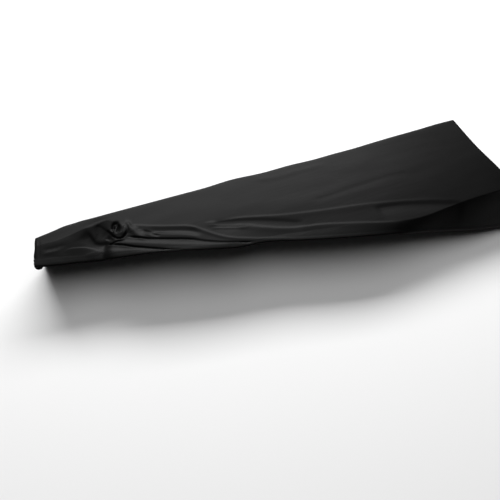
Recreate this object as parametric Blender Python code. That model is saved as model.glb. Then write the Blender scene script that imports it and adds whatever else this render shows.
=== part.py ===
"""A fitted dust cover of thin stretch cloth, with its front-left corner pulled back.

One thin sheet: a top with skirts at the back and both ends, and a front hem that climbs from the
right end's long skirt to the top at the left. There the cloth is pulled back into a small bunch,
and folds run out of it along the front.

Frame: metres, +X along the length to the right end, +Y to the back, +Z up. The origin is under the
top, at mid-length, where the top rests on what it covers. The tables are in millimetres.
"""

from collections import namedtuple

import bmesh
import bpy
import numpy as np

MM = 0.001

# Sheet
THICKNESS = 2.0
TOP_Z = 2.0  # outer face of the flat top, over the origin's plane
DROP = 100.0  # from the origin's plane down to the surface that the skirts reach
EDGE_ROUND = 6.0  # how the cloth turns over the back and end edges
ROUND_STOPS = 0.9  # share of the depth where that round begins to run out towards the front

# Skirts
BACK_FLARE = 1.0  # how far each hem stands out from the edge above it
LEFT_FLARE = 1.0
RIGHT_FLARE = 6.0
FLARE_FROM, FLARE_LENGTH = 450.0, 90.0  # stretch of the front skirt that turns out to the right end's hem
RIGHT_LIFT = 3.0  # how far the right hem's front corner is clear of the surface
LEFT_CLIMB = 0.8  # how the left skirt's hem climbs towards the front
SKIRT_WAVE = 3.0  # how far the back and right skirts wander in and out at their hems
WAVES_PER_METRE = 9.0
FRONT_BULGE = 0.6  # how far the front skirt rounds out between crease and hem
LEAN_AT_CREASE, LEAN_REACH = 0.5, 0.2  # folds stand square to the front skirt past this share of it

# Mesh: columns per stretch of length, rows from the back edge to the front crease, rings down the skirts
COLUMN_STRETCHES = (  # (share of the length where the stretch ends, columns in it)
    (0.09, 9),
    (0.20, 23),
    (0.40, 18),
    (0.68, 15),
    (1.00, 13),
)
FIRST_ROW = 0.03  # share of the top's depth where the first row runs, over the back edge
BACK_ROWS, FRONT_ROWS = 5, 21
FRONT_HALF = 0.32  # share of the top's depth where the closer front rows begin
RINGS = (0.10, 0.36, 0.68, 1.0)

# Outline of the top in plan, and the front skirt's hem, by place along the length
# hold: how late the front falls from crease to hem; level: share of the depth before the top sags;
# curve: how the sag grows from there to the crease
Section = namedtuple("Section", "x back crease crease_z hem hem_z hold level curve")
SECTIONS = (
    Section(-531, 77, 31, -2, 18, -5, 1.1, 0.4, 1.2),
    Section(-515, 80, 30, -3, 14, -7, 1.1, 0.41, 1.2),
    Section(-480, 86, 24, -5, 7, -10, 1.1, 0.45, 1.2),
    Section(-460, 90, 20, -8, 4, -13, 1.1, 0.38, 1.2),
    Section(-440, 91, 16, -11, 1, -15, 1.1, 0.33, 1.0),
    Section(-425, 92, 14, -12, -2, -16, 1.1, 0.3, 1.0),
    Section(-410, 92, 11, -12, -6, -15, 1.1, 0.26, 1.0),
    Section(-395, 92, 4, -7, -12, -8, 1.1, 0.17, 0.9),
    Section(-380, 92, -2, -3, -17, -4, 1.1, 0.17, 0.7),
    Section(-360, 92, -7, -1, -22, -2, 1.1, 0.32, 0.8),
    Section(-330, 92, -16, 1, -29, 1, 1.1, 0.6, 1.5),
    Section(-288, 92, -28, 2, -38, 2, 1.2, 0.6, 1.5),
    Section(-220, 92, -47, 1, -58, 0, 1.2, 0.57, 1.5),
    Section(-157, 92, -63, 1, -75, -2, 1.2, 0.52, 1.5),
    Section(-100, 95, -70, -1, -81, -3, 1.2, 0.5, 1.5),
    Section(-20, 91, -83, -2, -104, -3, 1.2, 0.5, 1.5),
    Section(45, 92, -96, -1, -123, -3, 1.3, 0.51, 1.5),
    Section(110, 90, -108, 0, -140, -4, 1.3, 0.55, 1.5),
    Section(165, 91, -121, 0, -152, -8, 1.3, 0.55, 1.5),
    Section(215, 91, -135, 0, -161, -17, 1.2, 0.55, 1.5),
    Section(271, 93, -142, 0, -167, -31, 1.2, 0.55, 1.5),
    Section(341, 95, -139, 0, -177, -45, 1.1, 0.55, 1.5),
    Section(415, 96, -138, 0, -188, -62, 1.1, 0.55, 1.5),
    Section(486, 98, -140, 0, -195, -77, 1.0, 0.55, 1.5),
    Section(545, 97, -141, 0, -201, -90, 1.0, 0.55, 1.5),
)

# Ends of the top in plan, from the back edge to the front crease
EndPoint = namedtuple("EndPoint", "share left right")
ENDS = (
    EndPoint(0.00, -517, 533),
    EndPoint(0.10, -519, 533),
    EndPoint(0.45, -523, 534),
    EndPoint(0.75, -528, 542),
    EndPoint(1.00, -530, 546),
)

# Folds of the top and of the lip at the front, each along a smooth path in plan
Fold = namedtuple("Fold", "name back_width front_width start_height end_height path")
FOLDS = (
    Fold("far crest", 4, 9, 0.9, 0.6, (
        (-200, 1), (-150, -7), (-97, -17), (10, -43), (115, -62), (195, -78), (364, -127),
    )),
    Fold("far crease", 5, 16, -1.6, -1.2, (
        (-182, -3), (-145, -12), (-104, -23), (-64, -37), (-24, -54), (6, -66),
    )),
    Fold("right crease", 6, 20, -1.4, -2.2, (
        (170, -86), (204, -91), (236, -97), (280, -109), (327, -124), (387, -146),
    )),
    Fold("middle crest", 4, 9, 1.2, 1.1, (
        (-142, -22), (-87, -46), (-32, -68), (44, -86), (129, -112), (219, -141),
    )),
    Fold("near crest", 4, 4, 1.4, 0.5, ((-235, 7), (-209, -11), (-178, -38), (-140, -58), (-38, -90))),
    Fold("edge roll", 4, 6, 0.9, 1.2, (
        (-335, 45), (-321, 39), (-302, 31), (-272, 20), (-248, 12), (-227, 4), (-214, -6),
    )),
    Fold("edge hollow", 7, 4, -1, -1.4, (
        (-320, 28), (-306, 21), (-287, 14), (-265, 7), (-242, -1), (-225, -9), (-210, -24),
    )),
    Fold("upper roll", 4, 9, 1.8, 1.8, (
        (-327, 24), (-308, 14), (-290, 6), (-268, -3), (-250, -10), (-233, -18), (-216, -30),
    )),
    Fold("upper crease", 4, 4, -3.4, -2.2, (
        (-354, 24), (-333, 14), (-301, -2), (-247, -21), (-218, -35), (-172, -56), (-114, -75),
    )),
    Fold("lip roll", 7, 10, 1.9, 1.4, ((-373, 15), (-325, -6), (-269, -29), (-160, -68))),
    Fold("lower crease", 4, 4, -3.2, -2, ((-398, 24), (-372, 12), (-345, -5), (-315, -20), (-258, -44))),
    Fold("lower lip", 4, 8, 2, 1.2, (
        (-402, 13), (-394, 6), (-383, 0), (-371, -5), (-353, -12), (-330, -21), (-307, -31),
    )),
    Fold("left slope ridge", 8, 8, 0.3, 0.2, ((-448, 55), (-460, 52), (-474, 50), (-491, 50))),
    Fold("left crease", 4, 4, -0.7, -0.7, ((-514, 48), (-501, 46), (-489, 45), (-477, 45), (-462, 45))),
    Fold("left ridge", 4, 4, 0.6, 0.5, ((-514, 38), (-501, 38), (-489, 37), (-476, 37))),
    Fold("front ridge", 4, 4, 0.9, 1.1, ((-475, 29), (-463, 35), (-434, 30), (-398, 11))),
    Fold("front lower crease", 4, 12, -0.5, -0.5, ((-425, 9), (-414, 9), (-401, 10))),
)

# The bunch of pulled-back cloth: its rounds and its hollow, then the ridges and creases that twist over them
Heap = namedtuple("Heap", "name x y long back front turn height steep")
HEAPS = (
    Heap("ball hollow", -406, 42, 20, 34, 24, -10, -1.6, 2.0),
    Heap("bunch right", -358, 37, 12, 14, 9, -14, 2.2, 2.2),
    Heap("rim tip", -341, 47, 4.5, 9, 14, 0, 3.2, 2.0),
    Heap("knot left hollow", -392, 28, 13, 36, 34, 0, -4.0, 2.0),
    Heap("knot pit", -365, 50, 7, 8.5, 9, 0, -3.8, 2.8),
)
TWISTS = (
    Fold("ball crease", 4, 20, -2.4, -3.2, (
        (-426, 64), (-422, 57), (-417, 49), (-412, 40), (-405, 32), (-395, 26), (-384, 21),
    )),
    Fold("knot crescent", 4, 4, -2, -4.4, ((-387, 53), (-380, 45), (-373, 31), (-360, 27), (-345, 41))),
    Fold("rim crease", 4, 4, -4.2, -3.6, (
        (-373, 44), (-372, 53), (-370, 58), (-367, 61), (-362, 61), (-356, 59),
    )),
    Fold("knot right ridge", 4, 4, 1.8, 2.8, ((-363, 29), (-356, 32), (-351, 40), (-348, 53))),
    Fold("right shoulder", 8, 6, 2.8, 1.8, (
        (-334, 48), (-334, 39), (-334, 30), (-331, 22), (-325, 14), (-313, 6),
    )),
)

FADE_LENGTH, FADE_SHARE = 18.0, 0.3  # a fold's ends fade over this length, or over this share if that is less
PATH_STEPS = 24

CLOTH_COLOUR = (0.018, 0.018, 0.020, 1.0)
CLOTH_ROUGHNESS = 0.85


def smooth_step(share):
    share = np.clip(share, 0.0, 1.0)
    return share * share * (3.0 - 2.0 * share)


def smooth_through(places, values, at):
    """Read a smooth curve through the rows of a table."""
    places, values = np.asarray(places, float), np.asarray(values, float)
    slopes = np.gradient(values, places)
    i = np.clip(np.searchsorted(places, at) - 1, 0, len(places) - 2)
    span = places[i + 1] - places[i]
    t = np.clip((at - places[i]) / span, 0.0, 1.0)
    rise = (
        values[i] * (1 + 2 * t) * (1 - t) ** 2
        + values[i + 1] * t * t * (3 - 2 * t)
    )
    return rise + span * t * (1 - t) * (slopes[i] * (1 - t) - slopes[i + 1] * t)


def section_value(column, x):
    return smooth_through([row.x for row in SECTIONS], [getattr(row, column) for row in SECTIONS], x)


def smooth_path(points):
    """Points spread along a smooth curve through a fold's own points."""
    points = np.array(points, float)
    lengths = np.r_[0.0, np.cumsum(np.hypot(*np.diff(points, axis=0).T))]
    at = np.linspace(0.0, lengths[-1], PATH_STEPS + 1)
    return np.c_[smooth_through(lengths, points[:, 0], at), smooth_through(lengths, points[:, 1], at)]


def fold_height(fold, x, y):
    """Height that one fold adds at points of the plan, fading at both of its ends."""
    line = smooth_path(fold.path)
    start, step = line[:-1], np.diff(line, axis=0)
    away_x = x[:, None] - start[:, 0]
    away_y = y[:, None] - start[:, 1]
    share = (away_x * step[:, 0] + away_y * step[:, 1]) / (step**2).sum(axis=1)
    share = np.clip(share, 0.0, 1.0)
    gap_x = away_x - share * step[:, 0]
    gap_y = away_y - share * step[:, 1]
    gap = np.hypot(gap_x, gap_y)
    near = gap.argmin(axis=1)
    row = np.arange(len(x))
    along = (near + share[row, near]) / PATH_STEPS
    turned_back = step[near, 0] < 0
    behind = (step[near, 0] * gap_y[row, near] - step[near, 1] * gap_x[row, near] > 0) ^ turned_back
    width = np.where(behind, fold.back_width, fold.front_width)
    end = min(FADE_LENGTH / np.hypot(*step.T).sum(), FADE_SHARE)
    fade = smooth_step(along / end) * smooth_step((1 - along) / end)
    height = fold.start_height + (fold.end_height - fold.start_height) * along
    return height * fade * np.exp(-((gap[row, near] / width) ** 2))


def heap_height(heap, x, y):
    turn = np.radians(heap.turn)
    along = (x - heap.x) * np.cos(turn) + (y - heap.y) * np.sin(turn)
    across = (y - heap.y) * np.cos(turn) - (x - heap.x) * np.sin(turn)
    from_middle = np.hypot(along / heap.long, across / np.where(across > 0, heap.back, heap.front))
    return heap.height * np.exp(-(from_middle**heap.steep))


def relief(x, y):
    """Height of all folds over the smooth cloth."""
    total = sum(heap_height(heap, x, y) for heap in HEAPS)
    return total + sum(fold_height(fold, x, y) for fold in FOLDS + TWISTS)


def top_point(u, v):
    """Smooth top in plan: u runs along the length, v from the back edge to the front crease."""
    shares = [row.share for row in ENDS]
    left = smooth_through(shares, [row.left for row in ENDS], v)
    right = smooth_through(shares, [row.right for row in ENDS], v)
    x = left + (right - left) * u
    back, crease = section_value("back", x), section_value("crease", x)
    y = back + (crease - back) * v
    level = section_value("level", x)
    fall = np.clip((v - level) / (1 - level), 0, 1) ** section_value("curve", x)
    sag = (section_value("crease_z", x) - TOP_Z) * fall
    from_edge = np.minimum.reduce([back - y, x - left, right - x])
    into_round = np.clip(EDGE_ROUND - from_edge, 0.0, EDGE_ROUND)
    turn_down = EDGE_ROUND - np.sqrt(EDGE_ROUND**2 - into_round**2)
    turn_down *= 1.0 - smooth_step((v - ROUND_STOPS) / (1 - ROUND_STOPS))
    return x, y, TOP_Z + sag - turn_down


def hem_point(u, v, x, y):
    """Hem below each point of the top's rim."""
    front_x = x + RIGHT_FLARE * smooth_step((x - FLARE_FROM) / FLARE_LENGTH)
    front = front_x, section_value("hem", x), section_value("hem_z", x)
    wave = SKIRT_WAVE * np.sin(x * MM * WAVES_PER_METRE * 2 * np.pi) * np.sin(np.pi * u)
    back = x, y + BACK_FLARE + wave, np.full_like(x, -DROP)
    right_front = section_value("hem", np.float64(SECTIONS[-1].x))
    right_y = y + (right_front - y) * v**2
    right_wave = SKIRT_WAVE * np.sin(y * MM * WAVES_PER_METRE * 2 * np.pi) * np.sin(np.pi * v)
    right = x + RIGHT_FLARE * v + right_wave, right_y, RIGHT_LIFT * v - DROP
    left = SECTIONS[0]
    left_y = y + (left.hem - y) * v
    left_z = -DROP + (left.hem_z + DROP) * v**LEFT_CLIMB
    sides = (v >= 1, v <= 0, u >= 1, u <= 0)
    return [
        np.select(sides, choices, 0.0)
        for choices in zip(front, back, right, (x - LEFT_FLARE, left_y, left_z))
    ]


def place(u, v, w):
    """Outer face of the cloth: w is 0 on the top, and runs to 1 at the hem of a skirt."""
    x, y, z = top_point(u, v)
    hem_x, hem_y, hem_z = hem_point(u, v, x, y)
    on_front = v >= 1
    slope = np.arctan2(z - hem_z, np.maximum(y - hem_y, 1.0)) * on_front
    bulge = FRONT_BULGE * np.sin(np.pi * w) * on_front
    x = x + (hem_x - x) * w
    y = y + (hem_y - y) * w - bulge * np.sin(slope)
    fall = np.where(on_front, w ** section_value("hold", x), w)
    z = z + (hem_z - z) * fall + bulge * np.cos(slope)
    height = relief(x, y) * ((w == 0) | on_front)
    lean = slope * np.clip(LEAN_AT_CREASE + (1 - LEAN_AT_CREASE) * w / LEAN_REACH, 0, 1)
    return x, y - height * np.sin(lean), z + height * np.cos(lean)


def column_shares():
    """Shares of the length where the mesh's columns stand, closest at the bunch."""
    shares, begun = [0.0], 0.0
    for ended, count in COLUMN_STRETCHES:
        shares += list(begun + (ended - begun) * (np.arange(count) + 1) / count)
        begun = ended
    return np.array(shares)


def row_shares():
    """Shares of the depth where the mesh's rows run, closest in front."""
    back = np.linspace(FIRST_ROW, FRONT_HALF, BACK_ROWS)
    front = np.linspace(FRONT_HALF, 1.0, FRONT_ROWS + 1)[1:]
    return np.r_[0.0, back, front]


def cloth_mesh():
    """A flat grid for the top, its rim extruded ring by ring into skirts, then laid on the cover's form."""
    columns, rows = column_shares(), row_shares()
    flat = bmesh.new()
    along = flat.verts.layers.float.new("along")
    depth = flat.verts.layers.float.new("depth")
    down = flat.verts.layers.float.new("down")
    bmesh.ops.create_grid(flat, x_segments=len(columns) - 1, y_segments=len(rows) - 1, size=0.5)
    for vert in flat.verts:
        vert[along] = columns[round((vert.co.x + 0.5) * (len(columns) - 1))]
        vert[depth] = rows[round((0.5 - vert.co.y) * (len(rows) - 1))]
    rim = [edge for edge in flat.edges if edge.is_boundary]
    for share in RINGS:
        made = bmesh.ops.extrude_edge_only(flat, edges=rim)["geom"]
        for item in made:
            if isinstance(item, bmesh.types.BMVert):
                item[down] = share
        rim = [item for item in made if isinstance(item, bmesh.types.BMEdge) and item.is_boundary]
    shares = np.array([(vert[along], vert[depth], vert[down]) for vert in flat.verts])
    for vert, *point in zip(flat.verts, *place(*shares.T)):
        vert.co = [value * MM for value in point]
    bmesh.ops.recalc_face_normals(flat, faces=flat.faces)
    if sum(face.normal.z * face.calc_area() for face in flat.faces) < 0:
        bmesh.ops.reverse_faces(flat, faces=flat.faces)
    mesh = bpy.data.meshes.new("cover")
    flat.to_mesh(mesh)
    flat.free()
    mesh.shade_smooth()
    return mesh


def cloth_material():
    material = bpy.data.materials.new("black_stretch_cloth")
    material.use_nodes = True
    shader = material.node_tree.nodes["Principled BSDF"]
    shader.inputs["Base Color"].default_value = CLOTH_COLOUR
    shader.inputs["Roughness"].default_value = CLOTH_ROUGHNESS
    shader.inputs["Metallic"].default_value = 0.0
    return material


def make_cover():
    mesh = cloth_mesh()
    mesh.materials.append(cloth_material())
    cover = bpy.data.objects.new("cover", mesh)
    bpy.context.scene.collection.objects.link(cover)
    wall = cover.modifiers.new("cloth thickness", "SOLIDIFY")
    wall.thickness = THICKNESS * MM
    wall.offset = -1.0
    wall.use_even_offset = False
    return cover


for old in list(bpy.data.objects):
    bpy.data.objects.remove(old)
make_cover()
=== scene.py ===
"""A fitted dust cover of black stretch cloth, pulled back over its front-left corner.

The cloth is one sheet: a flat top, skirts at the back and both ends, and a front hem that climbs
from the right end's long skirt to the top at the left, where the pulled-back corner is bunched and
folds run out of it. The fold tables are in millimetres, in the frame's own axes.
"""

from collections import namedtuple

import bmesh
import bpy
import numpy as np
from mathutils import Matrix, Vector


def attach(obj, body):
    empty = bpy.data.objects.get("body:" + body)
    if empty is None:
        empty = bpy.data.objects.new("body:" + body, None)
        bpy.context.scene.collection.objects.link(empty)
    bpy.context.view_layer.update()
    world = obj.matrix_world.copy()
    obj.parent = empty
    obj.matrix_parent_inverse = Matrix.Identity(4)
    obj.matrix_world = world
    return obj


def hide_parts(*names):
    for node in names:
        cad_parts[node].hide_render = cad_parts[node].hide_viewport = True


MM = 0.001

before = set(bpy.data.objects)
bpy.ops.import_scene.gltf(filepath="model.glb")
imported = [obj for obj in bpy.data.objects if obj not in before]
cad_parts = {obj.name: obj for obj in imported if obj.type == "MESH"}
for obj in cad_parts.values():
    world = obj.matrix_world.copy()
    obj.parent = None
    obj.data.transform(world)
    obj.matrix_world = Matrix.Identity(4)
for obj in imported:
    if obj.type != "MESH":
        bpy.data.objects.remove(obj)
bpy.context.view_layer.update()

# ---------------------------------------------------------------- sizes, mm

THICKNESS = 1.4
TOP_Z = 2.0  # outer face of the flat top, over the plane that it rests on
DROP = 100.0  # from that plane down to the surface that the skirts reach
EDGE_ROUND = 6.0  # radius of the cloth's turn over the back and end edges
ROUND_STOPS = 0.9  # share of the depth where that round begins to run out towards the front

BACK_FLARE = 1.0  # how far each hem stands out from the edge above it
LEFT_FLARE = 1.0
RIGHT_FLARE = 6.0
FLARE_FROM, FLARE_LENGTH = 450.0, 90.0  # the front skirt turns out to the right hem over this stretch
RIGHT_LIFT = 3.0  # how far the right hem's front corner is clear of the surface
LEFT_CLIMB = 0.8  # power of the share of the depth by which the left hem climbs towards the front
RIGHT_SWEEP = 2.0  # power of that share by which the right hem reaches forward to its front corner
BACK_WAVE, RIGHT_WAVE = 3.0, 1.5  # how far these skirts wander in and out at their hems
WAVES_PER_METRE = 9.0
FRONT_BULGE = 0.4  # how far the front skirt rounds out between crease and hem
LEAN_AT_CREASE = 0.5  # share of the front skirt's slope with which folds lean at the crease
LEAN_REACH = 0.2  # share of that skirt past which they stand square to it
LEAST_RUN = 1.0  # its slope is worked out over at least this depth from back to front

HEM_BAND = 11.0  # turned-up hem, from its edge to its stitching
HEM_BAND_MOST = 0.7  # most of a short skirt that the hem may take
HEM_RISE, HEM_STEP = 0.8, 0.2  # how far the doubled hem stands out, and the share of it where it rises
STITCH_GROOVE = 0.6  # depth that its stitching pulls in
STITCH_AT, STITCH_WIDTH = 0.12, 0.06  # where the stitching runs and its width, as shares of the hem
FRONT_HEM = 0.25  # the front hem is pulled tight, so it stands out less, by this factor

FADE_LENGTH = 18.0  # each end of a fold fades over this length
FADE_SHARE = 0.3  # or over this share of the fold, where that is less
FOLD_REACH = 3.0  # a fold is level with the cloth past this many of its widths
PATH_STEPS = 24

COLUMN_STRETCHES = (  # (share of the length where the stretch ends, columns in it)
    (0.02, 14),
    (0.09, 34),
    (0.20, 74),
    (0.40, 64),
    (0.68, 60),
    (0.99, 50),
    (1.00, 4),
)
EDGE_ROWS = (0.0, 0.008, 0.018, 0.032, 0.05)  # share of the depth: the cloth turning over the back edge
BACK_ROWS, FRONT_ROWS = 16, 78
FRONT_ROWS_FROM = 0.30  # share of the depth where the front's closer rows begin
SKIRT_RINGS = (0.025, 0.06, 0.11, 0.18, 0.26, 0.36, 0.48, 0.62, 0.80)  # shares of a skirt above its hem
HEM_RINGS = (0.0, 0.10, 0.20, 0.60, 1.0)  # shares of the hem band

# ---------------------------------------------------------------- tables, mm

# At each x, the y of the back edge, and the y and z of the front crease and of the front hem.
# hold: how late the front falls between crease and hem; level: share of the depth before the top sags;
# curve: how late that sag falls.
Section = namedtuple("Section", "x back crease crease_z hem hem_z hold level curve")
SECTIONS = (
    Section(-531, 77, 31, -2, 18, -5, 1.1, 0.4, 1.2),
    Section(-515, 80, 30, -3, 14, -7, 1.1, 0.41, 1.2),
    Section(-480, 86, 24, -5, 7, -10, 1.1, 0.45, 1.2),
    Section(-460, 90, 20, -8, 5, -13, 1.1, 0.41, 1.2),
    Section(-440, 91, 16, -11, 2, -16, 1.1, 0.35, 1.0),
    Section(-425, 92, 14, -12, 0, -18, 1.1, 0.3, 1.0),
    Section(-410, 92, 11, -11, -6, -15, 1.1, 0.29, 1.0),
    Section(-395, 92, 4, -6, -12, -8, 1.1, 0.24, 0.6),
    Section(-380, 92, -1, -3, -17, -4, 1.1, 0.2, 0.6),
    Section(-360, 92, -7, -1, -22, -2, 1.1, 0.33, 0.8),
    Section(-330, 92, -16, 1, -29, 1, 1.1, 0.6, 1.5),
    Section(-288, 92, -28, 2, -38, 2, 1.2, 0.6, 1.5),
    Section(-220, 92, -47, 1, -58, 0, 1.2, 0.57, 1.5),
    Section(-157, 92, -63, 1, -75, -2, 1.2, 0.52, 1.5),
    Section(-100, 95, -70, -1, -81, -3, 1.2, 0.5, 1.5),
    Section(-20, 91, -83, -2, -104, -3, 1.2, 0.5, 1.5),
    Section(45, 92, -96, -1, -123, -3, 1.3, 0.51, 1.5),
    Section(110, 90, -108, 0, -140, -4, 1.3, 0.55, 1.5),
    Section(165, 91, -121, 0, -152, -8, 1.3, 0.55, 1.5),
    Section(215, 91, -135, 0, -161, -17, 1.2, 0.55, 1.5),
    Section(271, 93, -142, 0, -167, -31, 1.2, 0.55, 1.5),
    Section(341, 95, -139, 0, -177, -45, 1.1, 0.55, 1.5),
    Section(415, 96, -138, 0, -188, -62, 1.1, 0.55, 1.5),
    Section(486, 98, -140, 0, -195, -77, 1.0, 0.55, 1.5),
    Section(545, 97, -141, 0, -201, -90, 1.0, 0.55, 1.5),
)

# Where the left and right edges of the top are, at shares of the depth from back to front.
EndPoint = namedtuple("EndPoint", "share left right")
ENDS = (
    EndPoint(0.00, -517, 533),
    EndPoint(0.10, -519, 533),
    EndPoint(0.45, -523, 534),
    EndPoint(0.75, -528, 542),
    EndPoint(1.00, -530, 546),
)

# A raised line, or a crease where its heights are negative. Its widths are to the back and the front of
# its path, and its path is points in plan.
Fold = namedtuple("Fold", "name back_width front_width start_height end_height path")
LONG_FOLDS = (
    Fold("far crest", 3.2, 9, 0.75, 0.5, (
        (-200, 1), (-177, -3), (-150, -7), (-122, -11), (-97, -17), (-45, -31), (10, -43),
        (62, -53), (115, -62), (155, -69), (195, -78), (243, -89), (297, -104), (364, -127),
    )),
    Fold("far crease", 5, 16, -1.6, -1.2, (
        (-182, -3), (-145, -12), (-104, -23), (-64, -37), (-24, -54), (6, -66),
    )),
    Fold("right crease", 6, 20, -1.4, -2.2, (
        (170, -86), (204, -91), (236, -97), (280, -109), (327, -124), (387, -146),
    )),
    Fold("upper thin crest", 2.0, 2.4, 0.35, 0.45, ((-197, -4), (-159, -17), (-123, -29), (-92, -38))),
    Fold("lower thin crest", 2.2, 2.8, 0.6, 0.5, ((-190, -13), (-161, -23), (-131, -33), (-107, -39))),
    Fold("middle crest", 3.2, 9, 1.0, 0.9, (
        (-142, -22), (-114, -34), (-87, -46), (-62, -57), (-32, -68), (0, -76),
        (44, -86), (86, -99), (129, -112), (173, -127), (219, -141),
    )),
    Fold("near crest", 3.0, 4, 1.1, 0.4, (
        (-235, 7), (-222, 0), (-209, -11), (-195, -24), (-178, -38),
        (-161, -49), (-140, -58), (-103, -71), (-67, -82), (-38, -90),
    )),
    Fold("edge roll", 2.6, 6, 0.7, 1.0, (
        (-335, 45), (-321, 39), (-302, 31), (-272, 20), (-248, 12), (-227, 4), (-214, -6),
    )),
    Fold("edge hollow", 7, 4, -1.0, -1.4, (
        (-311, 24), (-300, 19), (-287, 14), (-265, 7), (-242, -1), (-225, -9), (-210, -24),
    )),
    Fold("upper roll", 3.0, 9, 1.4, 1.4, (
        (-327, 24), (-308, 14), (-290, 6), (-268, -3), (-250, -10), (-233, -18), (-216, -30),
    )),
    Fold("upper short crease", 2.4, 2.6, -2.4, -2.2, ((-320, 28), (-311, 19), (-301, 9), (-290, 0))),
    Fold("upper crease", 1.5, 1.5, -2.9, -2.2, (
        (-354, 24), (-343, 19), (-333, 13), (-319, 6), (-301, -1), (-275, -11), (-247, -21),
        (-233, -27), (-218, -35), (-200, -44), (-172, -56), (-145, -65), (-114, -75),
    )),
    Fold("upper crease branch", 1.6, 1.7, -3.4, -1.6, (
        (-393, 22), (-385, 21), (-378, 21), (-370, 20), (-357, 16),
    )),
    Fold("lip roll", 7, 10, 1.9, 1.4, (
        (-373, 15), (-352, 6), (-325, -6), (-298, -17),
        (-269, -29), (-240, -40), (-206, -52), (-160, -68),
    )),
    Fold("lower crease", 1.4, 1.5, -3.2, -2.0, (
        (-391, 23), (-380, 17), (-370, 11), (-358, 3), (-345, -5),
        (-331, -12), (-315, -20), (-298, -28), (-278, -37), (-258, -44),
    )),
    Fold("lower lip", 5.5, 11, 1.8, 1.2, (
        (-402, 12), (-394, 6), (-383, 0), (-371, -5), (-353, -12), (-330, -21), (-307, -31),
    )),
    Fold("top crease", 6, 8, -0.3, -0.3, (
        (47, -21), (101, -20), (155, -18), (209, -17), (263, -16), (312, -21),
    )),
    Fold("back crease", 7, 7, 0.4, 0.25, ((-48, 74), (-2, 66), (63, 68), (128, 66))),
)
LEFT_FOLDS = (
    Fold("left slope ridge", 8, 8, 0.3, 0.2, ((-448, 55), (-460, 52), (-474, 50), (-491, 50))),
    Fold("left crease", 4, 4, -0.7, -0.7, ((-514, 48), (-501, 46), (-489, 45), (-477, 45), (-462, 45))),
    Fold("left ridge", 3, 4, 0.5, 0.4, ((-514, 38), (-501, 38), (-489, 37), (-476, 37))),
    Fold("front ridge", 2.0, 8, 0.6, 0.8, (
        (-475, 29), (-471, 32), (-463, 34), (-450, 33),
        (-434, 30), (-422, 25), (-412, 18), (-398, 11),
    )),
    Fold("front lower ridge", 2.5, 6, 0.5, 0.3, ((-441, 14), (-431, 16), (-417, 16))),
    Fold("front lower crease", 3, 12, -0.5, -0.5, ((-425, 9), (-414, 8), (-401, 9))),
    Fold("left hem roll", 4, 4, 0.3, 0.2, ((-509, 21), (-496, 18), (-475, 12))),
    Fold("left hem crease", 3, 7, -0.3, -0.2, ((-517, 34), (-500, 30), (-483, 24), (-470, 20))),
    Fold("left seam roll", 2.2, 2.2, 0.4, 0.4, ((-513, 72), (-516, 57), (-520, 41), (-524, 25))),
    Fold("left seam crease", 1.8, 1.8, -0.7, -0.7, ((-509, 72), (-513, 56), (-517, 41), (-521, 26))),
)

# A round, or a hollow where its height is negative, oval in plan. long, back and front are its half
# widths: along it, and across it to the back and the front. turn is in degrees, and a steeper one has a
# flatter top.
Heap = namedtuple("Heap", "name x y long back front turn height steep")
HEAPS = (
    Heap("ball hollow", -406, 42, 20, 34, 26, -10, -2.4, 2.0),
    Heap("bunch right", -358, 37, 12, 14, 9, -14, 2.2, 2.2),
    Heap("rim tip", -341, 47, 4.5, 9, 14, 0, 3.2, 2.0),
    Heap("knot left hollow", -394, 28, 15, 36, 34, 0, -3.8, 2.0),
    Heap("lip start", -392, 5, 12, 16, 24, 0, 1.8, 2.0),
    Heap("knot pit", -365, 50, 7.4, 8.5, 9, 0, -4.6, 2.8),
)
TWISTS = (
    Fold("ball crease", 6, 15, -3.7, -4.0, (
        (-428, 66), (-424, 59), (-421, 51), (-418, 42),
        (-414, 34), (-406, 29), (-395, 26), (-383, 23),
    )),
    Fold("knot crescent", 1.5, 1.5, -2.0, -4.4, (
        (-380, 44), (-377, 37), (-374, 30), (-368, 26),
        (-361, 25), (-355, 28), (-348, 35), (-345, 41),
    )),
    Fold("rim crease", 3.0, 3.4, -4.2, -3.6, (
        (-373, 45), (-372, 53), (-370, 58), (-367, 61), (-362, 61), (-356, 59),
    )),
    Fold("knot right crease", 1.6, 1.4, -2.4, -4.6, (
        (-358, 60), (-360, 56), (-362, 51), (-365, 43), (-367, 37),
    )),
    Fold("ball slot", 1.6, 14, -1.8, -3.0, ((-389, 57), (-384, 51), (-380, 44), (-377, 36), (-372, 29))),
    Fold("slot step", 6, 1.6, -1.8, -1.8, ((-392, 40), (-385, 33), (-377, 28))),
    Fold("knot ridge", 2.0, 2.4, 2.0, 2.2, ((-374, 40), (-370, 47), (-365, 53), (-363, 57))),
    Fold("knot right ridge", 4, 2.6, 1.4, 2.2, ((-363, 29), (-356, 32), (-351, 40), (-348, 53))),
    Fold("right shoulder", 8, 6, 2.8, 1.8, (
        (-334, 48), (-334, 39), (-335, 28), (-332, 19), (-326, 12), (-313, 5),
    )),
    Fold("slot rim", 1.2, 1.6, 0.2, 0.8, ((-390, 38), (-390, 31), (-384, 24), (-377, 21), (-367, 20))),
    Fold("ball rim", 4, 6, 0.4, 0.8, (
        (-433, 65), (-421, 67), (-411, 69), (-399, 72), (-386, 72), (-373, 69),
    )),
    Fold("ball side crease", 2.8, 24, -0.8, -1.2, (
        (-407, 68), (-400, 67), (-393, 63), (-389, 57), (-384, 52),
    )),
)
FOLDS = LONG_FOLDS + LEFT_FOLDS + TWISTS

# ---------------------------------------------------------------- form of the cloth


def smooth_step(share):
    """0 to 1, with no slope at either end."""
    share = np.clip(share, 0.0, 1.0)
    return share * share * (3.0 - 2.0 * share)


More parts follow.
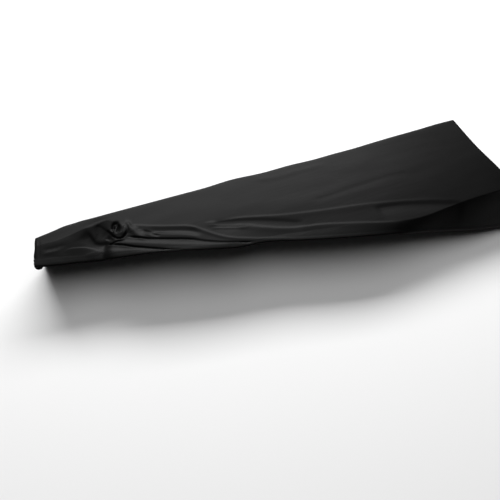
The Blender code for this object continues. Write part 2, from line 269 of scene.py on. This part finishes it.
def smooth_through(places, values, at):
    """Read a smooth curve through the rows of a table."""
    places, values = np.asarray(places, float), np.asarray(values, float)
    slopes = np.gradient(values, places)
    i = np.clip(np.searchsorted(places, at) - 1, 0, len(places) - 2)
    span = places[i + 1] - places[i]
    t = np.clip((at - places[i]) / span, 0.0, 1.0)
    rise = (
        values[i] * (1 + 2 * t) * (1 - t) ** 2
        + values[i + 1] * t * t * (3 - 2 * t)
    )
    return rise + span * t * (1 - t) * (slopes[i] * (1 - t) - slopes[i + 1] * t)


def section_value(column, x):
    """One column of the section table, read smoothly at places along the length."""
    return smooth_through([row.x for row in SECTIONS], [getattr(row, column) for row in SECTIONS], x)


def smooth_path(points):
    """Points spread along a smooth curve through a fold's own points."""
    points = np.array(points, float)
    lengths = np.r_[0.0, np.cumsum(np.hypot(*np.diff(points, axis=0).T))]
    at = np.linspace(0.0, lengths[-1], PATH_STEPS + 1)
    return np.c_[smooth_through(lengths, points[:, 0], at), smooth_through(lengths, points[:, 1], at)]


def fold_height(fold, x, y):
    """Height that one fold adds at points of the plan, fading at both of its ends."""
    height = np.zeros_like(x)
    line = smooth_path(fold.path)
    reach = FOLD_REACH * max(fold.back_width, fold.front_width)
    low, high = line.min(axis=0) - reach, line.max(axis=0) + reach
    close = np.flatnonzero((x > low[0]) & (x < high[0]) & (y > low[1]) & (y < high[1]))
    start, step = line[:-1], np.diff(line, axis=0)
    away_x = x[close, None] - start[:, 0]
    away_y = y[close, None] - start[:, 1]
    share = (away_x * step[:, 0] + away_y * step[:, 1]) / (step**2).sum(axis=1)
    share = np.clip(share, 0.0, 1.0)
    gap_x = away_x - share * step[:, 0]
    gap_y = away_y - share * step[:, 1]
    gap = np.hypot(gap_x, gap_y)
    near = gap.argmin(axis=1)
    row = np.arange(len(close))
    along = (near + share[row, near]) / PATH_STEPS
    turned_back = step[near, 0] < 0
    behind = (step[near, 0] * gap_y[row, near] - step[near, 1] * gap_x[row, near] > 0) ^ turned_back
    width = np.where(behind, fold.back_width, fold.front_width)
    length = np.hypot(*step.T).sum()
    end = min(FADE_LENGTH / length, FADE_SHARE)
    fade = smooth_step(along / end) * smooth_step((1 - along) / end)
    crest = fold.start_height + (fold.end_height - fold.start_height) * along
    height[close] = crest * fade * np.exp(-((gap[row, near] / width) ** 2))
    return height


def heap_height(heap, x, y):
    """Height that one round or hollow adds at points of the plan."""
    turn = np.radians(heap.turn)
    along = (x - heap.x) * np.cos(turn) + (y - heap.y) * np.sin(turn)
    across = (y - heap.y) * np.cos(turn) - (x - heap.x) * np.sin(turn)
    from_middle = np.hypot(along / heap.long, across / np.where(across > 0, heap.back, heap.front))
    return heap.height * np.exp(-(from_middle**heap.steep))


def relief(x, y):
    """Height of all folds over the smooth cloth."""
    total = sum(heap_height(heap, x, y) for heap in HEAPS)
    return total + sum(fold_height(fold, x, y) for fold in FOLDS)


def top_point(u, v):
    """Smooth top in plan: u runs along the length, v from the back edge to the front crease."""
    shares = [row.share for row in ENDS]
    left = smooth_through(shares, [row.left for row in ENDS], v)
    right = smooth_through(shares, [row.right for row in ENDS], v)
    x = left + (right - left) * u
    back, crease = section_value("back", x), section_value("crease", x)
    y = back + (crease - back) * v
    level = section_value("level", x)
    fall = np.clip((v - level) / (1 - level), 0, 1) ** section_value("curve", x)
    sag = (section_value("crease_z", x) - TOP_Z) * fall
    from_edge = np.minimum.reduce([back - y, x - left, right - x])
    into_round = np.clip(EDGE_ROUND - from_edge, 0.0, EDGE_ROUND)
    turn_down = EDGE_ROUND - np.sqrt(EDGE_ROUND**2 - into_round**2)
    turn_down *= 1.0 - smooth_step((v - ROUND_STOPS) / (1 - ROUND_STOPS))
    return x, y, TOP_Z + sag - turn_down


def hem_point(u, v, x, y):
    """Hem below each point of the top's rim."""
    front_x = x + RIGHT_FLARE * smooth_step((x - FLARE_FROM) / FLARE_LENGTH)
    front = (front_x, section_value("hem", x), section_value("hem_z", x))
    back_wave = BACK_WAVE * np.sin(x * MM * WAVES_PER_METRE * 2 * np.pi) * np.sin(np.pi * u)
    back = (x, y + BACK_FLARE + back_wave, np.full_like(x, -DROP))
    right_y = y + (SECTIONS[-1].hem - y) * v**RIGHT_SWEEP
    right_wave = RIGHT_WAVE * np.sin(y * MM * WAVES_PER_METRE * 2 * np.pi) * np.sin(np.pi * v)
    right = (x + RIGHT_FLARE * v + right_wave, right_y, RIGHT_LIFT * v - DROP)
    left_y = y + (SECTIONS[0].hem - y) * v
    left_z = -DROP + (SECTIONS[0].hem_z + DROP) * v**LEFT_CLIMB
    left = (x - LEFT_FLARE, left_y, left_z)
    sides = (v >= 1, v <= 0, u >= 1, u <= 0)
    return [np.select(sides, choices, 0.0) for choices in zip(front, back, right, left)]


def hem_height(ring):
    """How far the doubled hem and its stitching stand out or in at a ring of the skirts."""
    into_hem = np.clip(ring - 1, 0, 1)
    rise = HEM_RISE * smooth_step(into_hem / HEM_STEP)
    groove = STITCH_GROOVE * np.exp(-(((into_hem - STITCH_AT) / STITCH_WIDTH) ** 2))
    return (rise - groove) * (ring >= 1)


def place(u, v, ring):
    """Outer face of the cloth. ring is 0 on the top, 1 where a hem begins and 2 at the hem's edge."""
    x, y, z = top_point(u, v)
    hem_x, hem_y, hem_z = hem_point(u, v, x, y)
    length = np.sqrt((hem_x - x) ** 2 + (hem_y - y) ** 2 + (hem_z - z) ** 2)
    hem_share = np.minimum(HEM_BAND / length, HEM_BAND_MOST)
    w = np.where(ring <= 1, ring * (1 - hem_share), 1 - (2 - ring) * hem_share)
    on_front, on_back = v >= 1, v <= 0
    on_end = ((u <= 0) | (u >= 1)) & ~on_front & ~on_back
    slope = np.arctan2(z - hem_z, np.maximum(y - hem_y, LEAST_RUN)) * on_front
    bulge = (FRONT_BULGE * np.sin(np.pi * w) + FRONT_HEM * hem_height(ring)) * on_front
    y = y + (hem_y - y) * w - bulge * np.sin(slope) + hem_height(ring) * on_back
    fall = np.where(on_front, w ** section_value("hold", x), w)
    z = z + (hem_z - z) * fall + bulge * np.cos(slope)
    x = x + (hem_x - x) * w + hem_height(ring) * on_end * np.sign(u - 0.5)
    height = relief(x, y) * ((ring == 0) | on_front)
    lean = slope * np.clip(LEAN_AT_CREASE + (1 - LEAN_AT_CREASE) * w / LEAN_REACH, 0, 1)
    return x, y - height * np.sin(lean), z + height * np.cos(lean)


def column_shares():
    """Shares of the length where the mesh's columns stand, closest at the bunch."""
    shares, begun = [0.0], 0.0
    for ended, count in COLUMN_STRETCHES:
        shares += list(begun + (ended - begun) * (np.arange(count) + 1) / count)
        begun = ended
    return np.array(shares)


def row_shares():
    """Shares of the depth where the mesh's rows run, closest over the back edge and in front."""
    back = np.linspace(EDGE_ROWS[-1], FRONT_ROWS_FROM, BACK_ROWS + 1)[1:]
    front = np.linspace(FRONT_ROWS_FROM, 1.0, FRONT_ROWS + 1)[1:]
    return np.r_[EDGE_ROWS, back, front]


def cloth_mesh(name):
    """A flat grid with its rim extruded ring by ring into skirts, then laid on the cover's form."""
    columns, rows = column_shares(), row_shares()
    flat = bmesh.new()
    along = flat.verts.layers.float.new("along")
    depth = flat.verts.layers.float.new("depth")
    down = flat.verts.layers.float.new("down")
    bmesh.ops.create_grid(flat, x_segments=len(columns) - 1, y_segments=len(rows) - 1, size=0.5)
    for vert in flat.verts:
        vert[along] = columns[round((vert.co.x + 0.5) * (len(columns) - 1))]
        vert[depth] = rows[round((0.5 - vert.co.y) * (len(rows) - 1))]
    rim = [edge for edge in flat.edges if edge.is_boundary]
    for ring in SKIRT_RINGS + tuple(1 + share for share in HEM_RINGS):
        made = bmesh.ops.extrude_edge_only(flat, edges=rim)["geom"]
        for item in made:
            if isinstance(item, bmesh.types.BMVert):
                item[down] = ring
        rim = [item for item in made if isinstance(item, bmesh.types.BMEdge) and item.is_boundary]
    shares = np.array([(vert[along], vert[depth], vert[down]) for vert in flat.verts])
    for vert, *point in zip(flat.verts, *place(*shares.T)):
        vert.co = [value * MM for value in point]
    bmesh.ops.recalc_face_normals(flat, faces=flat.faces)
    if sum(face.normal.z * face.calc_area() for face in flat.faces) < 0:
        bmesh.ops.reverse_faces(flat, faces=flat.faces)
    mesh = bpy.data.meshes.new(name)
    flat.to_mesh(mesh)
    flat.free()
    mesh.shade_smooth()
    return mesh


# ---------------------------------------------------------------- materials

JERSEY_DARK, JERSEY_WORN = "#040404", "#060606"
JERSEY_ROUGHNESS = (0.46, 0.50)  # from its darkest patches to its most worn
JERSEY_SPECULAR = 0.07  # black fibres and the gaps between them send back little light
WAVE_HEIGHT, LINE_HEIGHT = 1.2, 0.13  # mm of unevenness in the cloth's face
PAINT_COLOUR = "#d8d8d8"
PAINT_ROUGHNESS = 0.9
MIX_FIRST, MIX_SECOND, MIX_COLOUR = 6, 7, 2  # colour sockets of a Mix node, whose names repeat


def linear(hex_colour):
    """sRGB hex to the linear colour that shaders take."""
    channels = [int(hex_colour[i : i + 2], 16) / 255 for i in (1, 3, 5)]
    return (*[c / 12.92 if c <= 0.04045 else ((c + 0.055) / 1.055) ** 2.4 for c in channels], 1.0)


def add_node(tree, kind, settings=None, values=None, links=None):
    """One node, with its settings, its input values and the sockets that feed it."""
    node = tree.nodes.new(kind)
    for name, value in (settings or {}).items():
        setattr(node, name, value)
    for name, value in (values or {}).items():
        node.inputs[name].default_value = value
    for name, socket in (links or {}).items():
        tree.links.new(socket, node.inputs[name])
    return node


def new_material(name):
    """A material with a Principled shader, and that shader to set."""
    material = bpy.data.materials.new(name)
    material.use_nodes = True
    return material, material.node_tree, material.node_tree.nodes["Principled BSDF"]


def stretched_noise(tree, place_on, long, across, detail):
    """Noise in lumps of these millimetres, as cloth shows when it is pulled along its length."""
    sizes = (1 / (long * MM), 1 / (across * MM), 1 / (across * MM))
    scaled = add_node(
        tree, "ShaderNodeVectorMath", {"operation": "MULTIPLY"}, {1: sizes}, {0: place_on}
    )
    return add_node(
        tree,
        "ShaderNodeTexNoise",
        values={"Scale": 1.0, "Detail": detail},
        links={"Vector": scaled.outputs["Vector"]},
    ).outputs["Fac"]


def stretch_jersey():
    """Black polyester-elastane jersey, knitted fine and smooth.

    The eye gets almost no colour from it: a broad soft gloss that follows the lie of the cloth, long
    shallow waves where the stretch isn't even, and faint lines along the pull. The knit itself is 0.5 mm
    wide and can't show, so its lines are drawn 6 mm wide.
    """
    material, tree, shader = new_material("black_stretch_jersey")
    place_on = add_node(tree, "ShaderNodeTexCoord").outputs["Object"]
    waves = stretched_noise(tree, place_on, long=190, across=55, detail=1.0)
    lines = stretched_noise(tree, place_on, long=85, across=6, detail=2.0)
    wear = stretched_noise(tree, place_on, long=60, across=40, detail=3.0)
    slack = add_node(
        tree, "ShaderNodeBump", values={"Distance": WAVE_HEIGHT * MM}, links={"Height": waves}
    )
    surface = add_node(
        tree,
        "ShaderNodeBump",
        values={"Distance": LINE_HEIGHT * MM},
        links={"Height": lines, "Normal": slack.outputs["Normal"]},
    )
    colour = add_node(
        tree,
        "ShaderNodeMix",
        {"data_type": "RGBA"},
        {MIX_FIRST: linear(JERSEY_DARK), MIX_SECOND: linear(JERSEY_WORN)},
        {"Factor": wear},
    )
    least, most = JERSEY_ROUGHNESS
    gloss = add_node(
        tree, "ShaderNodeMapRange", values={"To Min": least, "To Max": most}, links={"Value": wear}
    )
    tree.links.new(colour.outputs[MIX_COLOUR], shader.inputs["Base Color"])
    tree.links.new(gloss.outputs["Result"], shader.inputs["Roughness"])
    tree.links.new(surface.outputs["Normal"], shader.inputs["Normal"])
    shader.inputs["Specular IOR Level"].default_value = JERSEY_SPECULAR
    return material


def matt_painted_board():
    """Pale board with matt paint: an even ground, nearly white, with no gloss to mirror the cloth."""
    material, _, shader = new_material("matt_painted_board")
    shader.inputs["Base Color"].default_value = linear(PAINT_COLOUR)
    shader.inputs["Roughness"].default_value = PAINT_ROUGHNESS
    return material


# ---------------------------------------------------------------- pieces


def make_cloth():
    """The cover: one sheet, given its thickness inwards from its outer face."""
    mesh = cloth_mesh("cover_cloth")
    mesh.materials.append(stretch_jersey())
    cloth = bpy.data.objects.new("cover_cloth", mesh)
    bpy.context.scene.collection.objects.link(cloth)
    wall = cloth.modifiers.new("cloth thickness", "SOLIDIFY")
    wall.thickness = THICKNESS * MM
    wall.offset = -1.0
    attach(cloth, "root")
    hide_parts("cover")


FLOOR_SIZE = 12.0  # metres
FLOOR_GAP = 0.5  # mm under the hems


def make_floor():
    """A flat board just below the hems."""
    flat = bmesh.new()
    bmesh.ops.create_grid(flat, x_segments=1, y_segments=1, size=FLOOR_SIZE / 2)
    bmesh.ops.translate(flat, verts=flat.verts, vec=(0, 0, -(DROP + FLOOR_GAP) * MM))
    mesh = bpy.data.meshes.new("floor")
    flat.to_mesh(mesh)
    flat.free()
    mesh.materials.append(matt_painted_board())
    floor = bpy.data.objects.new("floor", mesh)
    bpy.context.scene.collection.objects.link(floor)


# Soft lights that face the middle of the cover, in metres, degrees and watts. Azimuth runs from +X
# towards +Y.
Softbox = namedtuple("Softbox", "name azimuth elevation distance width height watts")
SOFTBOXES = (
    Softbox("back softbox", 78, 37, 3.0, 3.6, 1.0, 205),
    Softbox("overhead softbox", 90, 84, 3.0, 3.6, 3.6, 60),
)
ROOM_COLOUR = "#ffffff"
ROOM_GLOW = 0.03  # strength of the light from all round


def add_softbox(box):
    """One soft light, turned to face the middle of the cover."""
    turn, rise = np.radians(box.azimuth), np.radians(box.elevation)
    at = Vector((np.cos(rise) * np.cos(turn), np.cos(rise) * np.sin(turn), np.sin(rise))) * box.distance
    lamp = bpy.data.lights.new(box.name, "AREA")
    lamp.shape = "RECTANGLE"
    lamp.size, lamp.size_y, lamp.energy = box.width, box.height, box.watts
    holder = bpy.data.objects.new(box.name, lamp)
    holder.location = at
    holder.rotation_euler = (-at).to_track_quat("-Z", "Y").to_euler()
    bpy.context.scene.collection.objects.link(holder)


def add_lights():
    """Both softboxes and the faint light from all round."""
    for box in SOFTBOXES:
        add_softbox(box)
    world = bpy.data.worlds.new("studio")
    world.use_nodes = True
    glow = world.node_tree.nodes["Background"]
    glow.inputs["Color"].default_value = linear(ROOM_COLOUR)
    glow.inputs["Strength"].default_value = ROOM_GLOW
    bpy.context.scene.world = world
    bpy.context.scene.view_settings.view_transform = "Standard"


# The camera's place in metres, and the directions of its right-hand side and of its view.
CAMERA_AT = (-0.46399, -0.56880, 0.86389)
CAMERA_RIGHT = (0.90402, -0.41112, 0.11716)
CAMERA_AHEAD = (0.31671, 0.46005, -0.82949)
CAMERA_LENS = 37.23  # on a 36 mm sensor


def add_camera():
    """The camera, above the front-left corner."""
    right, ahead = Vector(CAMERA_RIGHT).normalized(), Vector(CAMERA_AHEAD).normalized()
    up = right.cross(ahead)
    turn = Matrix((right, up, -ahead)).transposed()
    lens = bpy.data.cameras.new("camera")
    lens.lens = CAMERA_LENS
    camera = bpy.data.objects.new("camera", lens)
    camera.matrix_world = Matrix.Translation(CAMERA_AT) @ turn.to_4x4()
    bpy.context.scene.collection.objects.link(camera)
    bpy.context.scene.camera = camera


add_camera()
make_cloth()
make_floor()
add_lights()
